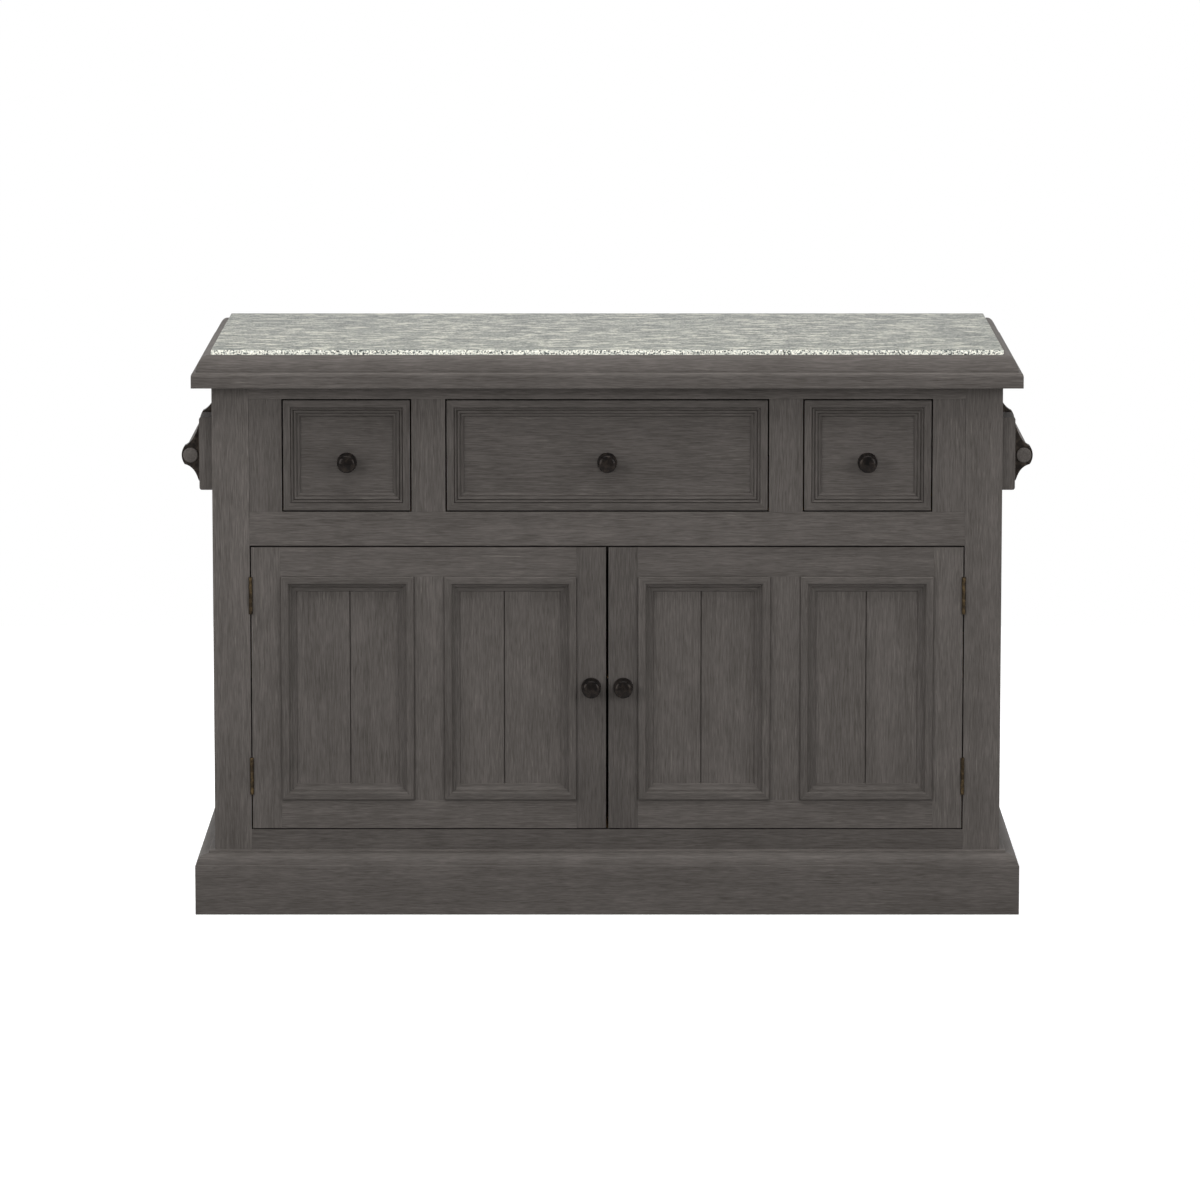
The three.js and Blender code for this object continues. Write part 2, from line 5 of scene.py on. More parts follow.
import bmesh
import bpy
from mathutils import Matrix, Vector


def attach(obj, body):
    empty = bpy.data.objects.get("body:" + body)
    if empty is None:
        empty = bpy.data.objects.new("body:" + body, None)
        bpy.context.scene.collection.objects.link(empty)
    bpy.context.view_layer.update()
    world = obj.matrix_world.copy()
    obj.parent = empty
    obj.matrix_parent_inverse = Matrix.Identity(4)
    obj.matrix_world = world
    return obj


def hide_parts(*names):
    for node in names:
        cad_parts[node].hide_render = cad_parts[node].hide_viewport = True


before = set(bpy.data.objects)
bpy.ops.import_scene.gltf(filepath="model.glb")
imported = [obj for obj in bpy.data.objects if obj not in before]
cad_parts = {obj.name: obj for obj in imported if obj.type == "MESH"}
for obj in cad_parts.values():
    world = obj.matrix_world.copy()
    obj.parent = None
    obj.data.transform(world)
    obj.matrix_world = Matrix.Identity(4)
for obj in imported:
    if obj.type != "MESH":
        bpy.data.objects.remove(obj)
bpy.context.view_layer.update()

# A kitchen island with an inlaid granite top, three drawers over two boarded doors, and a towel
# bar on each side. Sizes are in millimetres and turned into metres where a piece is made.
MM = 0.001

# Whole island
WIDTH, DEPTH = 1330, 635
GAP = 0.3

# Stone and the board under it
SLAB_X, SLAB_Y, SLAB_Z = 634.5, 287, (894, 914)
SUB_TOP_X, SUB_TOP_Y, SUB_TOP_Z = 604.7, 257.2, (875.7, 893.7)

# Case
CASE_X, CASE_Y, CASE_TOP = 634, 286.5, 854.7
BOARD = 20
INNER_X, INNER_Y = CASE_X - BOARD, CASE_Y - BOARD
FRONT = -CASE_Y
FRAME_REAR = -INNER_Y - GAP
SEAM, SEAM_ARRIS = 0.1, 0.25

# Face frame
RAIL_FOOT, DOOR_BOTTOM, DOOR_TOP = 60, 134.5, 597.5
DRAWER_BOTTOM, DRAWER_TOP = 652.3, 834.6
OPENING_X = 574.6
CENTRE_DRAWER_X = 259.7
SIDE_DRAWER_X = (314, 522)
STOP_LIP = 12

# Inside the case
CABINET_FLOOR_Z, SHELF_Z = (114.5, 134.2), (356, 374)
SHELF_FRONT, LIPPING = 30 - INNER_Y, 6
DECK_BOTTOM, UNDER_DECK = 634.3, 633.7
OUTER_GUIDE_WIDTH, GUIDE_HEIGHT = 18, 22

# Doors
DOOR_X = (2, 572.6)
DOOR_Z = (136.5, 594.9)
PANEL_X = {"inner": (49.5, 262.5), "outer": (310.9, 525.4)}
PANEL_Z = (182.9, 547.4)
PANEL_BACK = 16
FIELD_IN = 25.4
FIELD_BACK = 10
V_JOINT = {"chamfer": 0.8, "open": 1.4, "tongue": 3.9}
# Where the two boards of each door panel meet, off the middle of the panel
BOARDS_MEET = {"left": {"outer": 3.9, "inner": -9.8}, "right": {"inner": -4.7, "outer": -1}}

# Drawers
DRAWER_GAP, DRAWER_ARRIS, DRAWER_FIELD = 2.3, 0.6, 11
BOX_DEPTH, BOX_HEIGHT, BOX_WALL = 480, 150, 12
BOX_PLAY, BOX_LIFT, BOX_ARRIS = 3, 1, 0.6

# Hinges
HINGE_X, HINGE_Y = 573.6, FRONT - 1.2
HINGE_LENGTH, KNUCKLES = 60, 5
BARREL_R = 3
LEAF_REACH, LEAF_BED = 17, 2.4
LEAF_SCREWS_Z = (8, 30, 52)
HINGE_Z = {"lower": 192, "upper": 486.5}

# Turned and cast pieces
ON_FIELD = FRONT + DRAWER_FIELD - GAP
KNOB_PLACES = {
    "drawer_left": (-418, ON_FIELD, 731),
    "drawer_centre": (0, ON_FIELD, 731),
    "drawer_right": (418, ON_FIELD, 731),
    "door_left": (-25.8, FRONT - GAP, 367),
    "door_right": (25.8, FRONT - GAP, 367),
}
TOWEL_Y = 241.5
DOWEL_X, DOWEL_Z, DOWEL_R = 670.3, 740, 12
DOWEL_PAST, DOWEL_ARRIS = 14, 1.5
BORE_R, BORE_OUT = 12.15, 15
BLOCK_FACE, BLOCK_HALF, BLOCK_Z = 655, 37.5, (687, 804)
FLANGE_THICK, FLANGE_LIFT = 2.5, 2.6
FLANGE_HALF, FLANGE_STRAIGHT = 13, 32.5

SIDES = {"left": -1, "right": 1}
chance = random.Random(11)


# ---- the hand tools ----

def use(piece):
    bpy.ops.object.select_all(action="DESELECT")
    piece.select_set(True)
    bpy.context.view_layer.objects.active = piece


@contextmanager
def editing(piece, mode="FACE"):
    use(piece)
    bpy.ops.object.mode_set(mode="EDIT")
    bpy.ops.mesh.select_mode(type=mode)
    bpy.ops.mesh.select_all(action="DESELECT")
    yield
    bpy.ops.object.mode_set(mode="OBJECT")


def pick(piece, kind, test):
    """Selects the vertices, edges or faces that pass the test."""
    mesh = bmesh.from_edit_mesh(piece.data)
    for element in getattr(mesh, kind):
        element.select_set(bool(test(element)))
    bmesh.update_edit_mesh(piece.data)


def settle(name):
    """Names the piece just made and lays its place into its mesh."""
    piece = bpy.context.object
    piece.name = name
    piece.data.name = name
    bpy.ops.object.transform_apply(location=True, rotation=True, scale=True)
    return piece


def block(name, low, high):
    bpy.ops.object.select_all(action="DESELECT")
    size = [(b - a) * MM for a, b in zip(low, high)]
    middle = [(a + b) / 2 * MM for a, b in zip(low, high)]
    bpy.ops.mesh.primitive_cube_add(size=1, location=middle, scale=size)
    return settle(name)


def rod(name, radius, low, high, vertices=32):
    """A cylinder between two points on a line along one of the axes."""
    bpy.ops.object.select_all(action="DESELECT")
    run = Vector(high) - Vector(low)
    middle = (Vector(high) + Vector(low)) / 2 * MM
    turn = run.to_track_quat("Z", "Y").to_euler()
    bpy.ops.mesh.primitive_cylinder_add(
        vertices=vertices, radius=radius * MM, depth=run.length * MM, location=middle, rotation=turn
    )
    return settle(name)


def ease(piece, width, segments=2, angle=40):
    """Rounds every edge that is sharper than the angle."""
    use(piece)
    bpy.ops.object.modifier_add(type="BEVEL")
    modifier = piece.modifiers[-1]
    modifier.width = width * MM
    modifier.segments = segments
    modifier.limit_method = "ANGLE"
    modifier.angle_limit = math.radians(angle)
    bpy.ops.object.modifier_apply(modifier=modifier.name)


def smooth(piece, angle=30):
    use(piece)
    bpy.ops.object.shade_smooth_by_angle(angle=math.radians(angle))


def carve(piece, *cutters, operation="DIFFERENCE"):
    """Cuts each cutter out of the piece, or joins it on, and clears the cutter away."""
    for cutter in cutters:
        use(piece)
        bpy.ops.object.modifier_add(type="BOOLEAN")
        modifier = piece.modifiers[-1]
        modifier.operation = operation
        modifier.solver = "EXACT"
        modifier.object = cutter
        bpy.ops.object.modifier_apply(modifier=modifier.name)
        bpy.data.objects.remove(cutter)


def face_outwards(piece):
    with editing(piece):
        bpy.ops.mesh.select_all(action="SELECT")
        bpy.ops.mesh.remove_doubles(threshold=0.000001)
        bpy.ops.mesh.normals_make_consistent(inside=False)


def copied(piece, name, turn=0, move=(0, 0, 0), mirror=False):
    """A copy with its own mesh, mirrored across the middle or turned about Z, then moved."""
    use(piece)
    bpy.ops.object.duplicate(linked=False)
    copy = bpy.context.object
    copy.scale.x = -1 if mirror else 1
    copy.rotation_euler.z = math.radians(turn)
    copy.location = Vector(move) * MM
    settle(name)
    if mirror:
        face_outwards(copy)
    return copy


def joined(pieces, name):
    use(pieces[0])
    for piece in pieces[1:]:
        piece.select_set(True)
    if len(pieces) > 1:
        bpy.ops.object.join()
    return settle(name)


def profile(runs, steps=8):
    """Points of a section: (x, y) is a straight run, (x, y, cx, cy) a curve towards (cx, cy)."""
    points = [Vector(runs[0])]
    for x, y, *control in runs[1:]:
        start, end = points[-1], Vector((x, y))
        if not control:
            points.append(end)
            continue
        bend = Vector(control)
        for step in range(1, steps + 1):
            t = step / steps
            points.append(start * (1 - t) ** 2 + bend * 2 * t * (1 - t) + end * t**2)
    return points


def draw(points):
    """Draws a chain of edges through the points, one after another, and stays in edit mode."""
    bpy.ops.object.select_all(action="DESELECT")
    bpy.ops.mesh.primitive_plane_add(size=MM, location=points[0] * MM)
    bpy.ops.object.mode_set(mode="EDIT")
    bpy.ops.mesh.select_mode(type="VERT")
    bpy.ops.mesh.merge(type="CENTER")
    for here, there in zip(points, points[1:]):
        bpy.ops.mesh.extrude_region_move(TRANSFORM_OT_translate={"value": (there - here) * MM})
    bpy.ops.mesh.select_all(action="SELECT")


def drawn_length(name, points, run):
    """A length of material whose section is drawn, filled and pulled along the run."""
    draw(points)
    bpy.ops.mesh.edge_face_add()
    bpy.ops.mesh.extrude_region_move(TRANSFORM_OT_translate={"value": Vector(run) * MM})
    bpy.ops.mesh.select_all(action="SELECT")
    bpy.ops.mesh.normals_make_consistent(inside=False)
    bpy.ops.object.mode_set(mode="OBJECT")
    return settle(name)


def turned(name, points, steps=48):
    """Turns a profile of (radius, distance along) about the Y axis, towards -Y."""
    draw([Vector((radius, -along, 0)) for radius, along in points])
    bpy.ops.mesh.spin(steps=steps, angle=math.tau, center=(0, 0, 0), axis=(0, 1, 0))
    bpy.ops.mesh.select_all(action="SELECT")
    bpy.ops.mesh.remove_doubles(threshold=0.000005)
    bpy.ops.mesh.normals_make_consistent(inside=False)
    bpy.ops.object.mode_set(mode="OBJECT")
    return settle(name)


def mould(piece, steps):
    """Works a moulding into the front face, step by step inwards and outwards, in mitred rings."""
    with editing(piece):
        front = min(face.center.y for face in piece.data.polygons)
        pick(piece, "faces", lambda f: f.normal.y < -0.99
             and f.calc_center_median().y < front + 1e-5)
        for (x0, y0), (x1, y1) in zip(steps, steps[1:]):
            if x1 - x0 > 1e-6:
                bpy.ops.mesh.inset(thickness=(x1 - x0) * MM, depth=(y1 - y0) * MM)
            else:
                rise = {"value": (0, -(y1 - y0) * MM, 0)}
                bpy.ops.mesh.extrude_region_move(TRANSFORM_OT_translate=rise)


# ---- finishes ----

def srgb(*levels):
    """A colour as it is seen, 0 to 255, as the shader wants it."""
    return tuple(
        ((v / 255 + 0.055) / 1.055) ** 2.4 if v > 10 else v / 3294.6 for v in levels
    ) + (1,)


class Tree:
    """The nodes of a material or of the world."""

    def __init__(self, owner):
        owner.use_nodes = True
        self.tree = owner.node_tree

    def node(self, kind, inputs, output=0, **settings):
        made = self.tree.nodes.new("ShaderNode" + kind)
        for setting, value in settings.items():
            setattr(made, setting, value)
        for socket, value in inputs.items():
            if isinstance(value, bpy.types.NodeSocket):
                self.tree.links.new(value, made.inputs[socket])
            else:
                made.inputs[socket].default_value = value
        return made.outputs[output]

    def between(self, value, low, high, to_low=0.0, to_high=1.0):
        return self.node("MapRange", {
            "Value": value, "From Min": low, "From Max": high, "To Min": to_low, "To Max": to_high,
        })

    def in_the_picture(self):
        """1 for rays that show a thing itself, also in gloss or glass, and 0 for its light."""
        camera, glossy, clear = (
            self.node("LightPath", {}, "Is %s Ray" % kind)
            for kind in ("Camera", "Glossy", "Transmission")
        )
        either = self.node("Math", {0: camera, 1: glossy}, operation="MAXIMUM")
        return self.node("Math", {0: either, 1: clear}, operation="MAXIMUM")


class Finish(Tree):
    """A material built node by node."""

    def __init__(self, name, metallic=0.0, specular=0.3):
        self.material = bpy.data.materials.new(name)
        super().__init__(self.material)
        self.shader = self.tree.nodes["Principled BSDF"]
        self.shader.inputs["Metallic"].default_value = metallic
        self.shader.inputs["Specular IOR Level"].default_value = specular

    def place(self, stretch=(1, 1, 1)):
        spot = self.node("TexCoord", {}, "Object")
        return self.node("Mapping", {"Vector": spot, "Scale": stretch})

    def along_grain(self):
        """The place on a piece, drawn out along its grain, at the piece's own part of the tree."""
        spot = self.node("TexCoord", {}, "Object")
        grain = self.node("Attribute", {}, "Vector", attribute_name="grain")
        cut = self.node("Attribute", {}, "Vector", attribute_name="cut")
        drawn = self.node("VectorMath", {0: spot, 1: grain}, operation="MULTIPLY")
        return self.node("VectorMath", {0: drawn, 1: cut}, operation="ADD")

    def noise(self, place, scale, detail=3.0, roughness=0.55, distortion=0.0):
        return self.node("TexNoise", {
            "Vector": place, "Scale": scale, "Detail": detail, "Roughness": roughness,
            "Distortion": distortion,
        })

    def weigh(self, *parts):
        """The sum of the values, each times its share."""
        total = 0.0
        for value, share in parts:
            total = self.node("Math", {0: value, 1: share, 2: total}, operation="MULTIPLY_ADD")
        return total

    def times(self, a, b):
        return self.node("Math", {0: a, 1: b}, operation="MULTIPLY")

    def ramp(self, value, stops):
        output = self.node("ValToRGB", {"Fac": value})
        scale = output.node.color_ramp
        for position, colour in stops[2:]:
            scale.elements.new(position)
        for element, (position, colour) in zip(scale.elements, stops):
            element.position = position
            element.color = colour
        return output

    def blend(self, share, a, b):
        return self.node("Mix", {0: share, 6: a, 7: b}, 2, data_type="RGBA")

    def scaled(self, colour, amount):
        return self.node("VectorMath", {0: colour, "Scale": amount}, operation="SCALE")

    def wear(self, colour, roughness, height, strength, distance):
        for value, socket in ((colour, "Base Color"), (roughness, "Roughness")):
            self.tree.links.new(value, self.shader.inputs[socket])
        bump = self.node("Bump", {"Height": height, "Strength": strength, "Distance": distance})
        self.tree.links.new(bump, self.shader.inputs["Normal"])
        return self.material


def painted_wood():
    """Grey-brown glaze brushed out along the grain, with the wood's figure showing through."""
    finish = Finish("painted_wood", specular=0.08)
    place = finish.along_grain()
    flat = finish.node("TexCoord", {}, "Object")
    clouds = finish.noise(flat, 14, 2, 0.5)
    bands = finish.noise(place, 30, 2, 0.5, 0.6)
    streaks = finish.noise(place, 340, 3, 0.6, 0.4)
    hairs = finish.noise(place, 760, 2, 0.6)
    shade = finish.weigh((clouds, 0.14), (bands, 0.18), (streaks, 0.26), (hairs, 0.42))
    colour = finish.ramp(shade, [
        (0.37, srgb(67, 63, 60)),
        (0.50, srgb(81, 77, 74)),
        (0.63, srgb(95, 90, 87)),
    ])
    fine = finish.between(finish.noise(place, 420, 2, 0.6, 0.6), 0.58, 0.7)
    patches = finish.between(finish.noise(flat, 13, 2, 0.5), 0.48, 0.64)
    lit = finish.blend(finish.times(finish.times(fine, patches), 0.45), colour, srgb(112, 107, 102))
    pores = finish.between(finish.noise(place, 1050, 1, 0.5), 0.6, 0.72)
    grained = finish.blend(finish.times(pores, 0.35), lit, srgb(50, 46, 44))
    # Each piece's brightness scales the colour: its tone, and painted light and shade
    tone_and_shading = finish.node("Attribute", {}, "Fac", attribute_name="tone_and_shading")
    return finish.wear(
        finish.scaled(grained, tone_and_shading),
        finish.between(hairs, 0.3, 0.7, 0.52, 0.68),
        finish.weigh((hairs, 1.0), (streaks, 1.4), (pores, -0.6)),
        0.35, 0.0004,
    )


def bare_wood():
    """Clear-finished maple of the inside, with darker late wood along the grain."""
    finish = Finish("bare_wood", specular=0.3)
    place = finish.along_grain()
    rings = finish.noise(place, 32, 4, 0.55, 1.2)
    pores = finish.noise(place, 480, 3, 0.6)
    colour = finish.ramp(finish.weigh((rings, 0.7), (pores, 0.3)), [
        (0.32, srgb(150, 110, 70)),
        (0.48, srgb(188, 149, 104)),
        (0.62, srgb(207, 173, 130)),
    ])
    tone_and_shading = finish.node("Attribute", {}, "Fac", attribute_name="tone_and_shading")
    return finish.wear(
        finish.scaled(colour, tone_and_shading), finish.between(pores, 0.3, 0.7, 0.42, 0.6), pores, 0.25, 0.0003
    )


def granite():
    """Polished granite: sage grey clouded with cream and blue-grey, speckled with black mica."""
    finish = Finish("granite", specular=0.06)
    place = finish.place()
    drawn = finish.place((0.4, 1, 1))
    clouds = finish.noise(drawn, 66, 6, 0.82, 0.3)
    wisps = finish.between(finish.noise(drawn, 74, 4, 0.7, 0.5), 0.53, 0.59)
    jitter = finish.node("TexNoise", {"Vector": place, "Scale": 300.0}, "Color")
    ragged = finish.node(
        "VectorMath", {0: place, 1: finish.scaled(jitter, 0.0025)}, operation="ADD"
    )
    crystals = finish.node("TexVoronoi", {"Vector": ragged, "Scale": 560.0}, "Color")
    crystal = finish.node("SeparateColor", {"Color": crystals})
    body = finish.ramp(clouds, [
        (0.42, srgb(26, 33, 34)),
        (0.48, srgb(88, 95, 92)),
        (0.53, srgb(138, 139, 130)),
        (0.58, srgb(205, 202, 187)),
    ])
    streaked = finish.blend(finish.times(wisps, 0.85), body, srgb(40, 50, 54))
    speckle = finish.ramp(crystal, [
        (0.00, srgb(12, 14, 15)),
        (0.20, srgb(58, 64, 64)),
        (0.34, srgb(158, 161, 154)),
        (1.00, srgb(214, 212, 201)),
    ])
    # Upright faces take more of the pale speckle and their colour is scaled up to 1.48 times, the
    # top to 0.9: painted light that makes the edge brighter than the top, not wear
    up = finish.node("SeparateXYZ", {"Vector": finish.node("NewGeometry", {}, "Normal")}, "Z")
    share = finish.between(up, 0.3, 0.95, 0.95, 0.38)
    worn = finish.blend(share, streaked, speckle)
    colour = finish.scaled(worn, finish.between(up, 0.3, 0.95, 1.48, 0.9))
    grains = finish.noise(place, 900, 2, 0.5)
    return finish.wear(colour, finish.between(grains, 0.3, 0.7, 0.38, 0.5), grains, 0.05, 0.0001)


def metal(name, deep, base, worn, metallic, rough, pitting=0.25):
    """Metal with a mottled patina, rubbed brighter in places, over a finely pitted face."""
    finish = Finish(name, metallic=metallic, specular=0.15)
    place = finish.place()
    mottle = finish.noise(place, 130, 4, 0.6)
    grit = finish.noise(place, 1500, 3, 0.6)
    colour = finish.ramp(finish.weigh((mottle, 0.87), (grit, 0.13)), [
        (0.36, srgb(*deep)), (0.50, srgb(*base)), (0.64, srgb(*worn)),
    ])
    roughness = finish.between(mottle, 0.3, 0.7, rough - 0.07, rough + 0.09)
    return finish.wear(colour, roughness, grit, pitting, 0.0002)


FINISHES = {
    "painted_wood": painted_wood(),
    "bare_wood": bare_wood(),
    "granite": granite(),
    "bronze": metal("bronze", (12, 10, 9), (21, 17, 15), (34, 29, 25), 0.6, 0.23, 0.12),
    "aged_brass": metal("aged_brass", (32, 26, 19), (48, 40, 29), (74, 61, 41), 0.8, 0.42),
    "cast_iron": metal("cast_iron", (20, 16, 14), (34, 29, 25), (54, 47, 41), 0.5, 0.42, 0.4),
}
FINISHES["painted_panel"] = FINISHES["painted_wood"]
STRETCH = {"X": (0.055, 1, 1), "Y": (1, 0.055, 1), "Z": (1, 1, 0.055)}


def lay_grain(piece, along, tone_and_shading=1.0):
    """Says which way the grain of each face runs, where the piece was cut, and how dark it is
    painted: the paint's own tone, with painted light and shade set piece by piece.
    """
    mesh = piece.data
    low = Vector([min(v.co[axis] for v in mesh.vertices) for axis in range(3)])
    high = Vector([max(v.co[axis] for v in mesh.vertices) for axis in range(3)])
    level = 0 if high.x - low.x > high.y - low.y else 1
    runs = []
    for face in mesh.polygons:
        way = along
        if along == "mitred":
            centre = face.center
            beside = min(centre[level] - low[level], high[level] - centre[level])
            above = min(centre.z - low.z, high.z - centre.z)
            way = "Z" if beside < above else "XY"[level]
        runs += STRETCH[way]
    cut = [chance.uniform(-4, 4) for _ in range(3)]
    count = len(mesh.polygons)
    mesh.attributes.new("grain", "FLOAT_VECTOR", "FACE").data.foreach_set("vector", runs)
    mesh.attributes.new("cut", "FLOAT_VECTOR", "FACE").data.foreach_set("vector", cut * count)
    # The given brightness, partly painted light and shade, times a random tone of the piece's own
    shade = tone_and_shading * chance.uniform(0.97, 1.03)
    mesh.attributes.new("tone_and_shading", "FLOAT", "FACE").data.foreach_set("value", [shade] * count)


def fit(piece, body, slot, *nodes):
    """Finishes a piece, hangs it on its body, and hides the plain nodes it stands for."""
    piece.data.materials.clear()
    piece.data.materials.append(FINISHES[slot])
    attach(piece, body)
    if nodes:
        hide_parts(*nodes)
    return piece


def wooden(piece, along, body, *nodes, slot="painted_wood", tone_and_shading=1.0):
    lay_grain(piece, along, tone_and_shading)
    return fit(piece, body, slot, *nodes)


def board(name, low, high, along, body, *nodes, arris=SEAM_ARRIS, slot="painted_wood", tone_and_shading=1.0):
    piece = block(name, low, high)
    ease(piece, arris)
    return wooden(piece, along, body, *nodes, slot=slot, tone_and_shading=tone_and_shading)


def span(out, near, far):
    """A span of X on one side of the middle, lowest first."""
    return (near, far) if out > 0 else (-far, -near)


# ---- plinth and top ----

def mitred_member(name, section, length, depth):
    """A length of moulding along the front, mitred at both ends."""
    points = [Vector((-length / 2, inset - depth / 2, height)) for inset, height in section]
    member = drawn_length(name, points, (length, 0, 0))
    for end in (-1, 1):
        with editing(member):
            bpy.ops.mesh.select_all(action="SELECT")
            corner = Vector((end * (length / 2 - GAP / 2), -depth / 2, 0)) * MM
            bpy.ops.mesh.bisect(
                plane_co=corner, plane_no=(end, 1, 0), use_fill=True, clear_outer=True
            )
    face_outwards(member)
    smooth(member, 25)
    return member


def mitred_frame(name, section, tone_and_shading=1.0):
    front = mitred_member(name + "_front_length", section, WIDTH, DEPTH)
    end = mitred_member(name + "_end_length", section, DEPTH, WIDTH)
    rear = copied(front, name + "_rear_length", 180)
    right = copied(end, name + "_right_length", 90)
    left = copied(end, name + "_left_length", -90)
    bpy.data.objects.remove(end)
    for member, side, along in (
        (front, "front", "X"), (rear, "rear", "X"), (right, "right", "Y"), (left, "left", "Y"),
    ):
        wooden(member, along, "cabinet", name + "_" + side, tone_and_shading=tone_and_shading)


def plinth():
    mitred_frame("plinth", profile([
        (0, 0), (0, 79.2), (0.8, 80, 0, 80), (2.6, 80.6), (3.2, 84), (20, 98, 5, 96.5),
        (21, 98.2), (21.2, 100.2), (23.5, 102, 21.2, 102), (30.7, 102.5), (30.7, 0),
    ]), tone_and_shading=1.05)


def top():
    mitred_frame("top_frame", profile([
        (0.4, 855), (0, 855.4), (0, 872.5), (6, 880, 0, 880), (7.5, 880), (7.5, 882.5),
        (24.5, 906, 13, 905), (30.2, 906), (30.2, 893.7), (60, 893.7), (60, 875.4), (80, 875.4),
        (80, 855),
    ]))
    stone = block("granite_slab", (-SLAB_X, -SLAB_Y, SLAB_Z[0]), (SLAB_X, SLAB_Y, SLAB_Z[1]))
    with editing(stone, "EDGE"):
        pick(stone, "edges", lambda e: all(v.co.z > (SLAB_Z[1] - 1) * MM for v in e.verts))
        bpy.ops.mesh.bevel(offset=2.4 * MM, segments=4)
    smooth(stone, 30)
    fit(stone, "cabinet", "granite", "stone_top")
    board("sub_top_board", (-SUB_TOP_X, -SUB_TOP_Y, SUB_TOP_Z[0]),
          (SUB_TOP_X, SUB_TOP_Y, SUB_TOP_Z[1]), "X", "cabinet", "sub_top", slot="bare_wood")


# ---- case ----

def hinge_cutters(out, z):
    """What is let into a stile for a hinge: the bed of the leaf and the hollow for the barrel."""
    cut = LEAF_BED * out
    bed = block("bed", (HINGE_X + min(0, cut), HINGE_Y - 1, z - GAP),
                (HINGE_X + max(0, cut), HINGE_Y + (LEAF_REACH + GAP), z + HINGE_LENGTH + GAP))
    hollow = rod("hollow", BARREL_R + 0.4, (HINGE_X, HINGE_Y, z - GAP),
                 (HINGE_X, HINGE_Y, z + HINGE_LENGTH + GAP), 24)
    return bed, hollow


def face_frame():
    stile = block("stile_right_board", (OPENING_X, FRONT, 0), (CASE_X, FRAME_REAR, CASE_TOP))
    ease(stile, SEAM_ARRIS)
    for z in HINGE_Z.values():
        carve(stile, *hinge_cutters(1, z))
    other = copied(stile, "stile_left_board", mirror=True)
    # The two stiles are one board mirrored, painted at different brightness, the left lighter:
    # painted light and shade
    wooden(stile, "Z", "cabinet", "stile_right", tone_and_shading=1.08)
    wooden(other, "Z", "cabinet", "stile_left", tone_and_shading=1.17)

    for side, out in SIDES.items():
        for place, (near, far) in {
            "inner": (CENTRE_DRAWER_X, SIDE_DRAWER_X[0]),
            "outer": (SIDE_DRAWER_X[1], OPENING_X - GAP),
        }.items():
            x0, x1 = span(out, near, far)
            name = "drawer_stile_%s_%s" % (side, place)
            board(name + "_board", (x0, FRONT, DRAWER_BOTTOM + SEAM),
                  (x1, FRAME_REAR, DRAWER_TOP - SEAM), "Z", "cabinet", name)

    end = OPENING_X - SEAM
    # The top rail, in the shade under the nose, is painted lighter, and the bottom rail, low down,
    # darker: painted light and shade
    board("rail_top_board", (-end, FRONT, DRAWER_TOP), (end, FRAME_REAR, CASE_TOP), "X", "cabinet",
          "rail_top", tone_and_shading=1.12)
    board("rail_bottom_board", (-end, FRONT, RAIL_FOOT), (end, FRAME_REAR, DOOR_BOTTOM), "X",
          "cabinet", "rail_bottom", tone_and_shading=0.96)
    lip_front, lip_rear = -INNER_Y + GAP, -INNER_Y + STOP_LIP + GAP
    section = [
        (FRONT, DOOR_TOP), (lip_front, DOOR_TOP), (lip_front, DOOR_TOP - STOP_LIP),
        (lip_rear, DOOR_TOP - STOP_LIP), (lip_rear, UNDER_DECK), (FRAME_REAR, UNDER_DECK),
        (FRAME_REAR, DRAWER_BOTTOM), (FRONT, DRAWER_BOTTOM),
    ]
    points = [Vector((-end, y, z)) for y, z in section]
    rail = drawn_length("rail_middle_board", points, (2 * end, 0, 0))
    ease(rail, SEAM_ARRIS)
    wooden(rail, "X", "cabinet", "rail_middle", tone_and_shading=1.08)


def panel_moulding(name, low, high, steps):
    """A mitred moulding round a panel: worked into a block, which is then opened through."""
    ring = block(name, low, high)
    mould(ring, steps)
    with editing(ring):
        pick(ring, "faces", lambda f: f.normal.y > 0.99)
        bpy.ops.mesh.inset(thickness=steps[-1][0] * MM)
        left, right = low[0] + steps[-1][0] - 0.1, high[0] - steps[-1][0] + 0.1
        pick(ring, "faces", lambda f: abs(f.normal.y) > 0.99
             and min(v.co.x for v in f.verts) > left * MM
             and max(v.co.x for v in f.verts) < right * MM)
        bpy.ops.mesh.bridge_edge_loops()
    face_outwards(ring)
    smooth(ring, 28)
    return ring


def panel_boards(name, x0, x1, z0, z1, front, back, aside=0):
    """Two tongued boards side by side that fill a panel, with a V where they meet."""
    middle = (x0 + x1) / 2 + aside
    near = middle - V_JOINT["open"] / 2
    far = middle + V_JOINT["open"] / 2
    boards = []
    for side, left, right, meeting in (("a", x0, near, near), ("b", far, x1, far)):
        piece = block("%s_%s" % (name, side), (left, front, z0), (right, back, z1))
        with editing(piece, "EDGE"):
            pick(piece, "edges", lambda e: all(
                v.co.y < front * MM + 1e-6 and abs(v.co.x - meeting * MM) < 1e-6 for v in e.verts
            ))
            bpy.ops.mesh.bevel(offset=V_JOINT["chamfer"] * MM, segments=2)
        boards.append(piece)
    tongue_front = front + V_JOINT["tongue"]
    tongue = block("tongue", (near - 5, tongue_front, z0 + 1), (far + 5, tongue_front + 2, z1 - 1))
    return [joined([boards[0], tongue], name + "_a"), boards[1]]


WALL_FOOT = 165
WALL_EDGE_WIDTH, WALL_EDGE_THICK, WALL_FIELD_BACK = 12, 18, 9
WALL_EDGE = profile([(0, 0), (2.5, 0), (WALL_EDGE_WIDTH, -5.8, 10, 1), (WALL_EDGE_WIDTH, -7)])
SIDE_HEAD_RAIL = 62.3


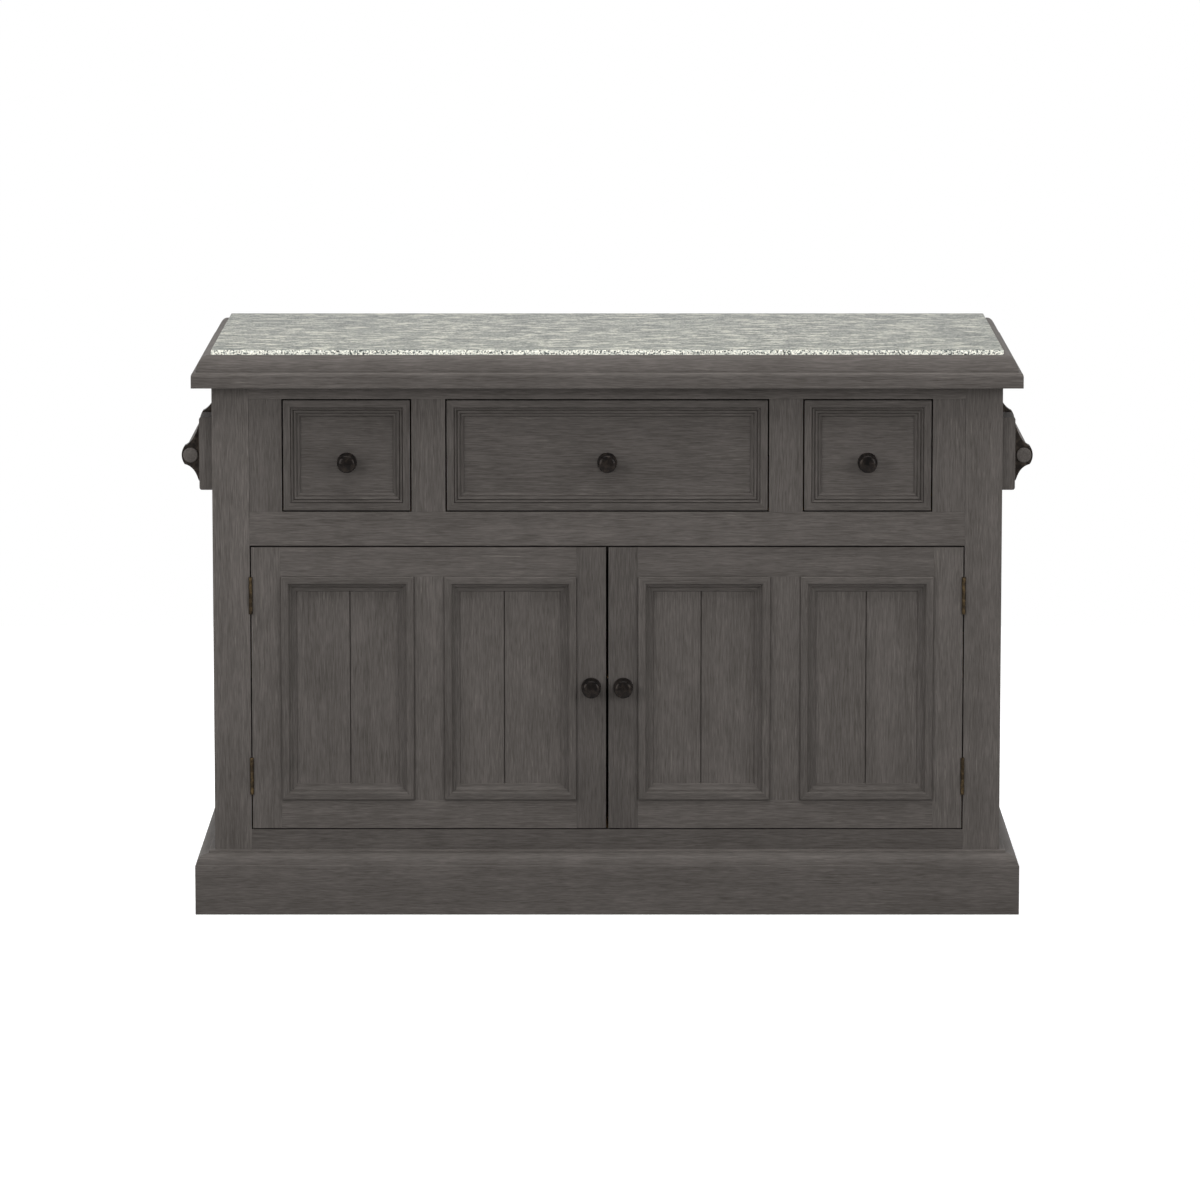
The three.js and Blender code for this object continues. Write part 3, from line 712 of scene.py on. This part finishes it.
def wall(name, node, width, pockets, pocket_top, turn, move, has_apron=False):
    """A framed and boarded wall that is made facing the front, then turned into its place."""
    first, last = pockets[0][0], pockets[-1][1]
    members = [
        ("stile_a", (-width / 2, 0), (first, CASE_TOP), "Z"),
        ("stile_b", (last, 0), (width / 2, CASE_TOP), "Z"),
        ("foot_rail", (first, 0), (last, WALL_FOOT), "level"),
    ]
    upper = pocket_top + SIDE_HEAD_RAIL if has_apron else CASE_TOP
    members.append(("head_rail", (first, pocket_top), (last, upper), "level"))
    if has_apron:
        members.append(("apron", (first, upper), (last, CASE_TOP), "level"))
    for number, (left, right) in enumerate(zip(pockets, pockets[1:])):
        members.append(
            ("muntin_%d" % (number + 1), (left[1], WALL_FOOT), (right[0], pocket_top), "Z")
        )

    pieces = []
    for part, (x0, z0), (x1, z1), along in members:
        piece = block(part, (x0, -BOARD, z0), (x1, 0, z1))
        ease(piece, SEAM_ARRIS)
        pieces.append((part, piece, along))
    for number, (x0, x1) in enumerate(pockets):
        ring = panel_moulding(
            "ring", (x0, -WALL_EDGE_THICK, WALL_FOOT), (x1, 0, pocket_top), WALL_EDGE
        )
        pieces.append(("moulding_%d" % (number + 1), ring, "mitred"))
        for piece in panel_boards(
            "board", x0 + WALL_EDGE_WIDTH, x1 - WALL_EDGE_WIDTH, WALL_FOOT + WALL_EDGE_WIDTH,
            pocket_top - WALL_EDGE_WIDTH, WALL_FIELD_BACK - BOARD, 0,
        ):
            pieces.append(("panel_%d_%s" % (number + 1, piece.name), piece, "Z"))
    for part, piece, along in pieces:
        placed = copied(piece, name + "_" + part, turn, move)
        bpy.data.objects.remove(piece)
        way = along if along != "level" else "X" if turn == 180 else "Y"
        slot = "painted_panel" if part.startswith("panel") else "painted_wood"
        wooden(placed, way, "cabinet", node, slot=slot)


def walls():
    side_pockets, side_pocket_top = [(-200, -28), (28, 200)], 590
    side_width = 2 * (INNER_Y - GAP)
    for side in ("right", "left"):
        out = SIDES[side]
        wall("side_" + side, "side_" + side, side_width, side_pockets, side_pocket_top, 90 * out,
             (out * INNER_X, 0, 0), has_apron=True)
    stile, muntin, count = 66, 50, 4
    first = stile - CASE_X
    pitch = (2 * CASE_X - 2 * stile + muntin) / count
    rear_pockets = [(first + i * pitch, first + (i + 1) * pitch - muntin) for i in range(count)]
    rear_pocket_top = 790
    wall("rear", "back", 2 * CASE_X, rear_pockets, rear_pocket_top, 180, (0, INNER_Y, 0))


def inside():
    end, rear = INNER_X, INNER_Y - GAP
    for name, (bottom, upper), front in (
        ("cabinet_floor", CABINET_FLOOR_Z, -rear),
        ("shelf", SHELF_Z, SHELF_FRONT + LIPPING),
    ):
        board(name + "_board", (-end, front, bottom), (end, rear, upper), "X", "cabinet", name,
              slot="bare_wood")
    board("shelf_lipping", (-end, SHELF_FRONT, SHELF_Z[0] - SEAM),
          (end, SHELF_FRONT + LIPPING, SHELF_Z[1] + SEAM), "X", "cabinet", "shelf", arris=1.2)
    deck_top = DRAWER_BOTTOM - GAP
    board("drawer_deck_board", (-end, -rear, DECK_BOTTOM), (end, rear, deck_top), "X", "cabinet",
          "drawer_deck", slot="bare_wood")
    for side, out in SIDES.items():
        for place, near, far in (
            ("inner", CENTRE_DRAWER_X, SIDE_DRAWER_X[0]),
            ("outer", SIDE_DRAWER_X[1], SIDE_DRAWER_X[1] + OUTER_GUIDE_WIDTH),
        ):
            x0, x1 = span(out, near, far)
            board("guide_%s_%s" % (side, place), (x0, -rear, deck_top),
                  (x1, rear, deck_top + GUIDE_HEIGHT), "Y", "cabinet", "drawer_deck",
                  slot="bare_wood", tone_and_shading=0.94)


# ---- doors ----

RING_PLAY, RING_PROUD = 0.15, 1.5
DOOR_MOULDING = profile([
    (0, RING_PROUD), (2.5, 4, 0, 4), (10.2, 3.7), (13.4, -1.4, 12.9, 3.4), (16.2, -1.9),
    (16.9, -4.6), (24.4, -8, 18.6, -7.2), (FIELD_IN, -FIELD_BACK),
], 6)
# The meeting stiles came darker than the rest of the door, and the head rails a little
DOOR_TONES = {"meeting_stile": 0.9, "head_rail": 1.03}


def door(side, out):
    body = "door_" + side
    node = body + "_frame"
    back = -INNER_Y
    rails = {
        "meeting_stile": (DOOR_X[0], PANEL_X["inner"][0], *DOOR_Z, "Z"),
        "hinge_stile": (PANEL_X["outer"][1], DOOR_X[1], *DOOR_Z, "Z"),
        "head_rail": (PANEL_X["inner"][0], PANEL_X["outer"][1], PANEL_Z[1], DOOR_Z[1], "X"),
        "foot_rail": (PANEL_X["inner"][0], PANEL_X["outer"][1], DOOR_Z[0], PANEL_Z[0], "X"),
        "muntin": (PANEL_X["inner"][1], PANEL_X["outer"][0], *PANEL_Z, "Z"),
    }
    for part, (near, far, z0, z1, along) in rails.items():
        piece = block(body + "_" + part, (near, FRONT, z0), (far, back, z1))
        ease(piece, SEAM_ARRIS)
        if part == "hinge_stile":
            for z in HINGE_Z.values():
                carve(piece, *hinge_cutters(-1, z))
        if out < 0:
            right_handed = piece
            right_handed.name = "right_handed"
            piece = copied(right_handed, body + "_" + part, mirror=True)
            bpy.data.objects.remove(right_handed)
        wooden(piece, along, body, node, tone_and_shading=DOOR_TONES.get(part, 1.1))

    for place, (near, far) in PANEL_X.items():
        x0, x1 = span(out, near, far)
        name = "%s_panel_%s" % (body, place)
        ring = panel_moulding(
            name + "_moulding", (x0 + RING_PLAY, FRONT - RING_PROUD, PANEL_Z[0] + RING_PLAY),
            (x1 - RING_PLAY, FRONT + PANEL_BACK, PANEL_Z[1] - RING_PLAY), DOOR_MOULDING,
        )
        wooden(ring, "mitred", body, name, tone_and_shading=0.98)
        for piece in panel_boards(
            name + "_board", x0 + FIELD_IN, x1 - FIELD_IN, PANEL_Z[0] + FIELD_IN,
            PANEL_Z[1] - FIELD_IN, FRONT + FIELD_BACK, FRONT + PANEL_BACK, BOARDS_MEET[side][place],
        ):
            wooden(piece, "Z", body, name, slot="painted_panel", tone_and_shading=1.1)


# ---- drawers ----

DRAWER_MOULDING = profile([
    (DRAWER_ARRIS, 0), (11.2, 0), (12.2, -2.4), (15.6, -2.2, 13.8, 1.8), (16.6, -4.6),
    (21, -4.9, 18.8, -0.9), (22.2, -7.4), (26.4, -8.6, 24.6, -5.8), (27.8, -DRAWER_FIELD),
], 6)
PINS = 5


def pin(name, loose):
    """One dovetail pin, from the corner of a box inwards, at the origin."""
    wide, narrow = 10 - 2 * loose, 5.5 - 2 * loose
    outline = [(loose, -narrow / 2), (BOX_WALL - loose, -wide / 2), (BOX_WALL - loose, wide / 2),
               (loose, narrow / 2)]
    return drawn_length(name, [Vector((0, y, z)) for y, z in outline], (BOX_WALL, 0, 0))


def box_side():
    """The left side of a drawer box, cut out at both ends for the pins of the end walls."""
    side = block("box_side", (0, 0, 0), (BOX_WALL, BOX_DEPTH, BOX_HEIGHT))
    ease(side, BOX_ARRIS)
    cutters = []
    for number in range(PINS):
        z = BOX_HEIGHT * (number + 0.5) / PINS
        for turn, y in ((0, 0), (180, BOX_DEPTH)):
            cutter = pin("notch", 0)
            cutters.append(copied(cutter, "cutter", turn, (BOX_WALL + 1 if turn else -1, y, z)))
            bpy.data.objects.remove(cutter)
            stretched = cutters[-1]
            with editing(stretched, "VERT"):
                pick(stretched, "verts", lambda v: v.co.x > 5 * MM)
                bpy.ops.transform.translate(value=(2 * MM, 0, 0))
    carve(side, *cutters)
    return side


def box_pins():
    """The pins at the front left corner of a drawer box."""
    model = pin("pin_model", 0.06)
    row = [copied(model, "pin", move=(0.1, 0, BOX_HEIGHT * (number + 0.5) / PINS))
           for number in range(PINS)]
    bpy.data.objects.remove(model)
    return joined(row, "box_pins")


def drawer(name, x0, x1, side_model, pins_model):
    body = "drawer_" + name
    front = block(body + "_front_board", (x0 + DRAWER_GAP, FRONT, DRAWER_BOTTOM + DRAWER_GAP),
                  (x1 - DRAWER_GAP, -INNER_Y, DRAWER_TOP - DRAWER_GAP))
    ease(front, DRAWER_ARRIS)
    mould(front, DRAWER_MOULDING)
    smooth(front, 28)
    wooden(front, "mitred", body, body + "_front", tone_and_shading=0.92)

    left, right = x0 + BOX_PLAY, x1 - BOX_PLAY
    y0, y1 = -INNER_Y + GAP, -INNER_Y + GAP + BOX_DEPTH
    z0 = DRAWER_BOTTOM + BOX_LIFT
    z1 = z0 + BOX_HEIGHT
    inner = (left + BOX_WALL, right - BOX_WALL)
    for part, turn, move in (("side_a", 0, (left, y0, z0)), ("side_b", 180, (right, y1, z0))):
        wooden(copied(side_model, body + "_" + part, turn, move), "Y", body, body + "_box",
               slot="bare_wood")
    corners = (("a", 0, (left, y0, z0)), ("b", 0, (right - BOX_WALL, y0, z0)),
               ("c", 180, (left + BOX_WALL, y1, z0)), ("d", 180, (right, y1, z0)))
    for corner, turn, move in corners:
        wooden(copied(pins_model, "%s_pins_%s" % (body, corner), turn, move), "X", body,
               body + "_box", slot="bare_wood", tone_and_shading=0.72)
    fore, aft = y0 + BOX_WALL, y1 - BOX_WALL
    groove = 4
    for part, low, high in (
        ("fore_wall", (inner[0], y0, z0), (inner[1], fore, z1)),
        ("rear_wall", (inner[0], aft, z0), (inner[1], y1, z1)),
        ("bottom", (inner[0] - groove, fore - groove, z0 + 6),
         (inner[1] + groove, aft + groove, z0 + 12)),
    ):
        board(body + "_" + part, low, high, "X", body, body + "_box", slot="bare_wood",
              arris=BOX_ARRIS)


def drawers():
    side_model, pins_model = box_side(), box_pins()
    for side, out in SIDES.items():
        drawer(side, *span(out, *SIDE_DRAWER_X), side_model, pins_model)
    drawer("centre", -CENTRE_DRAWER_X, CENTRE_DRAWER_X, side_model, pins_model)
    for model in (side_model, pins_model):
        bpy.data.objects.remove(model)


# ---- turned knobs ----

def knobs():
    shape = profile([
        (0, 0), (16, 0), (16, 1.2), (14.5, 3, 16, 3), (9, 4), (6.5, 7, 6.8, 4.6), (6.5, 12),
        (12.5, 18.5, 7.5, 17.5), (14.3, 21.5, 14.3, 19), (14.3, 23.4), (13.3, 25.5, 14.3, 24.8),
        (11.2, 26.8), (0, 29, 6, 28.3),
    ], 6)
    model = turned("knob_model", shape)
    smooth(model, 35)
    for body, place in KNOB_PLACES.items():
        fit(copied(model, body + "_turned_knob", move=place), body, "bronze", body + "_knob")
    bpy.data.objects.remove(model)


# ---- hinges ----

def screw(radius, height):
    """A screw head with a rounded edge and a cross cut in it, on the origin, facing along X."""
    head = rod("head", radius, (0, 0, 0), (height, 0, 0), 28)
    ease(head, 0.25 * height, 2)
    arm, half = 0.62 * radius, 0.13 * radius
    for y, z in ((arm, half), (half, arm)):
        carve(head, block("cross", (0.45 * height, -y, -z), (height + 1, y, z)))
    return head


def hinge_leaf(out, own):
    """One leaf of the right-hand hinge with its own knuckles, at the hinge axis."""
    low, high = (0.5, 2.1) if out > 0 else (-2.1, -0.5)
    plate = block("plate", (low, 3.5, 0), (high, LEAF_REACH, HINGE_LENGTH))
    ease(plate, 0.3, 1)
    inside, turn = (low, 180) if out > 0 else (high, 0)
    screw_y, seat_bottom = 11, inside + 0.9 * out
    for z in LEAF_SCREWS_Z:
        carve(plate, rod("seat", 3.1, (inside - out, screw_y, z), (seat_bottom, screw_y, z), 24))
    pieces = [plate]
    pitch = HINGE_LENGTH / KNUCKLES
    for knuckle in own:
        bottom, upper = knuckle * pitch + SEAM, (knuckle + 1) * pitch - SEAM
        barrel = rod("knuckle", BARREL_R, (0, 0, bottom), (0, 0, upper), 28)
        ease(barrel, 0.25)
        pieces.append(barrel)
        pieces.append(block("tongue", (low, 1.8, bottom), (high, 3.8, upper)))
    model = screw(2.8, 0.8)
    for z in LEAF_SCREWS_Z:
        pieces.append(copied(model, "head", turn, (seat_bottom, screw_y, z)))
    bpy.data.objects.remove(model)
    return joined(pieces, "leaf")


def hinges():
    leaves = {"frame_leaf": hinge_leaf(1, (1, 3)), "door_leaf": hinge_leaf(-1, (0, 2, 4))}
    for kind, leaf in leaves.items():
        for level, z in HINGE_Z.items():
            for side, out in SIDES.items():
                name = "hinge_%s_%s_%s" % (side, level, kind)
                place = (out * HINGE_X, HINGE_Y, z)
                brass = copied(leaf, name + "_brass", move=place, mirror=out < 0)
                smooth(brass, 30)
                body = "cabinet" if kind == "frame_leaf" else "door_" + side
                fit(brass, body, "aged_brass", name)
        bpy.data.objects.remove(leaf)


# ---- towel bars ----

def oval(name, reach):
    """The outline of the flange, pulled out along X."""
    plate = rod(name, FLANGE_HALF, (0, 0, 0), (reach, 0, 0), 48)
    with editing(plate, "VERT"):
        for way in (-1, 1):
            pick(plate, "verts", lambda v: v.co.z * way > 1e-5)
            bpy.ops.transform.translate(value=(0, 0, way * FLANGE_STRAIGHT * MM))
    with editing(plate):
        bpy.ops.mesh.select_all(action="SELECT")
        bpy.ops.transform.translate(value=(0, 0, FLANGE_LIFT * MM))
    return plate


def bracket():
    """The cast bracket of the right side, out along +X from its block, bored for the dowel."""
    flange = oval("flange", FLANGE_THICK)
    ease(flange, 0.8, 3)

    lean, radius, out = 0.95, 25.5, 4
    touch = (out + radius * math.sin(lean), radius * math.cos(lean))
    outline = [Vector((1, -41.5))]
    outline += profile([(FLANGE_THICK, -41.5), (touch[0], -touch[1], 8, -19)], 10)
    steps = 16
    for step in range(1, steps):
        angle = (lean - math.pi / 2) * (1 - 2 * step / steps)
        outline.append(Vector((out + radius * math.cos(angle), radius * math.sin(angle))))
    outline += profile([touch, (FLANGE_THICK, 46, 10.5, 21)], 10)
    outline.append(Vector((1, 46)))
    lobe = drawn_length("lobe", [Vector((x, -10, z)) for x, z in outline], (0, 20, 0))
    carve(lobe, oval("rounding", 40), operation="INTERSECT")
    ease(lobe, 1.2, 3, 50)
    for casting in (lobe, flange):
        carve(casting, rod("bore", BORE_R, (BORE_OUT, -30, 0), (BORE_OUT, 30, 0), 48))
    model = screw(4.2, 2.2)
    screws = []
    seat = 2.6
    for z in (-32.5, 36.5):
        carve(lobe, rod("counterbore", 5, (seat, 0, z), (30, 0, z), 28))
        screws.append(copied(model, "head", move=(seat, 0, z)))
    bpy.data.objects.remove(model)
    return joined([flange, lobe, *screws], "bracket")


def towel_bars():
    block_model = block("block_model", (CASE_X + GAP, -BLOCK_HALF, BLOCK_Z[0]),
                        (BLOCK_FACE, BLOCK_HALF, BLOCK_Z[1]))
    with editing(block_model, "EDGE"):
        pick(block_model, "edges", lambda e: all(v.co.x > (BLOCK_FACE - 1) * MM for v in e.verts))
        bpy.ops.mesh.bevel(offset=4 * MM, segments=5)
    smooth(block_model, 30)
    casting = bracket()
    smooth(casting, 32)
    half = TOWEL_Y + DOWEL_PAST
    end = profile([
        (0, -half), (DOWEL_R - DOWEL_ARRIS, -half), (DOWEL_R, DOWEL_ARRIS - half, DOWEL_R, -half),
    ], 4)
    shape = end + [Vector((r, -y)) for r, y in reversed(end)]
    dowel = turned("dowel_model", [(r, y) for r, y in shape], 40)
    smooth(dowel, 30)
    for side, out in SIDES.items():
        turn = 0 if out > 0 else 180
        for place, y in (("front", -TOWEL_Y), ("rear", TOWEL_Y)):
            name = "towel_block_%s_%s" % (side, place)
            wood = copied(block_model, name + "_wood", turn, (0, y, 0))
            wooden(wood, "Z", "cabinet", name)
            name = "towel_bracket_%s_%s" % (side, place)
            iron = copied(casting, name + "_iron", turn, (out * (BLOCK_FACE + GAP), y, DOWEL_Z))
            fit(iron, "cabinet", "cast_iron", name)
        bar = copied(dowel, "towel_bar_%s_dowel" % side, 0, (out * DOWEL_X, 0, DOWEL_Z))
        # The dowel is painted lighter than the other wood: painted light on its end, which lies in
        # the shade of the top
        wooden(bar, "Y", "cabinet", "towel_bar_" + side, tone_and_shading=1.3)
    for model in (block_model, casting, dowel):
        bpy.data.objects.remove(model)


# ---- studio ----

def studio():
    camera = bpy.data.objects.new("camera", bpy.data.cameras.new("camera"))
    bpy.context.collection.objects.link(camera)
    camera.location = (0.0027, -10.7496, 2.0458)
    camera.rotation_euler = (math.pi / 2 - 0.1458, 0, 0)
    camera.data.lens = 197.2
    camera.data.sensor_width = 36
    camera.data.shift_x = -0.0074
    bpy.context.scene.camera = camera
    bpy.context.scene.view_settings.view_transform = "Standard"

    for name, place, size, power in (
        ("window_left", (-2.6, -2.6, 1.5), (1.4, 1.8), 45),
        ("window_right", (2.6, -2.6, 1.5), (1.4, 1.8), 40),
        ("overhead", (0, -0.9, 3.4), (3.0, 2.0), 88),
    ):
        lamp = bpy.data.objects.new(name, bpy.data.lights.new(name, "AREA"))
        bpy.context.collection.objects.link(lamp)
        lamp.location = place
        aim = Vector((0, 0, 0.45)) - lamp.location
        lamp.rotation_euler = aim.to_track_quat("-Z", "Y").to_euler()
        lamp.data.shape = "RECTANGLE"
        lamp.data.size, lamp.data.size_y = size
        lamp.data.energy = power

    world = bpy.data.worlds.new("studio")
    bpy.context.scene.world = world
    sky = Tree(world)
    level = sky.between(sky.in_the_picture(), 0, 1, 0.5, 1.0)
    background = sky.tree.nodes["Background"]
    background.inputs["Color"].default_value = (1, 1, 1, 1)
    sky.tree.links.new(level, background.inputs["Strength"])

    bpy.ops.object.select_all(action="DESELECT")
    bpy.ops.mesh.primitive_plane_add(size=5.6, location=(0, 0, 0))
    floor = settle("floor")
    finish = Finish("pale_floor", specular=0.0)
    finish.shader.inputs["Roughness"].default_value = 1.0
    seen = finish.in_the_picture()
    colour = finish.blend(seen, (0.2, 0.2, 0.2, 1), (0.93, 0.93, 0.93, 1))
    finish.tree.links.new(colour, finish.shader.inputs["Base Color"])
    finish.shader.inputs["Emission Color"].default_value = (1, 1, 1, 1)
    finish.tree.links.new(finish.times(seen, 0.5), finish.shader.inputs["Emission Strength"])
    floor.data.materials.append(finish.material)


studio()
plinth()
top()
face_frame()
walls()
inside()
for side, out in SIDES.items():
    door(side, out)
drawers()
knobs()
hinges()
towel_bars()
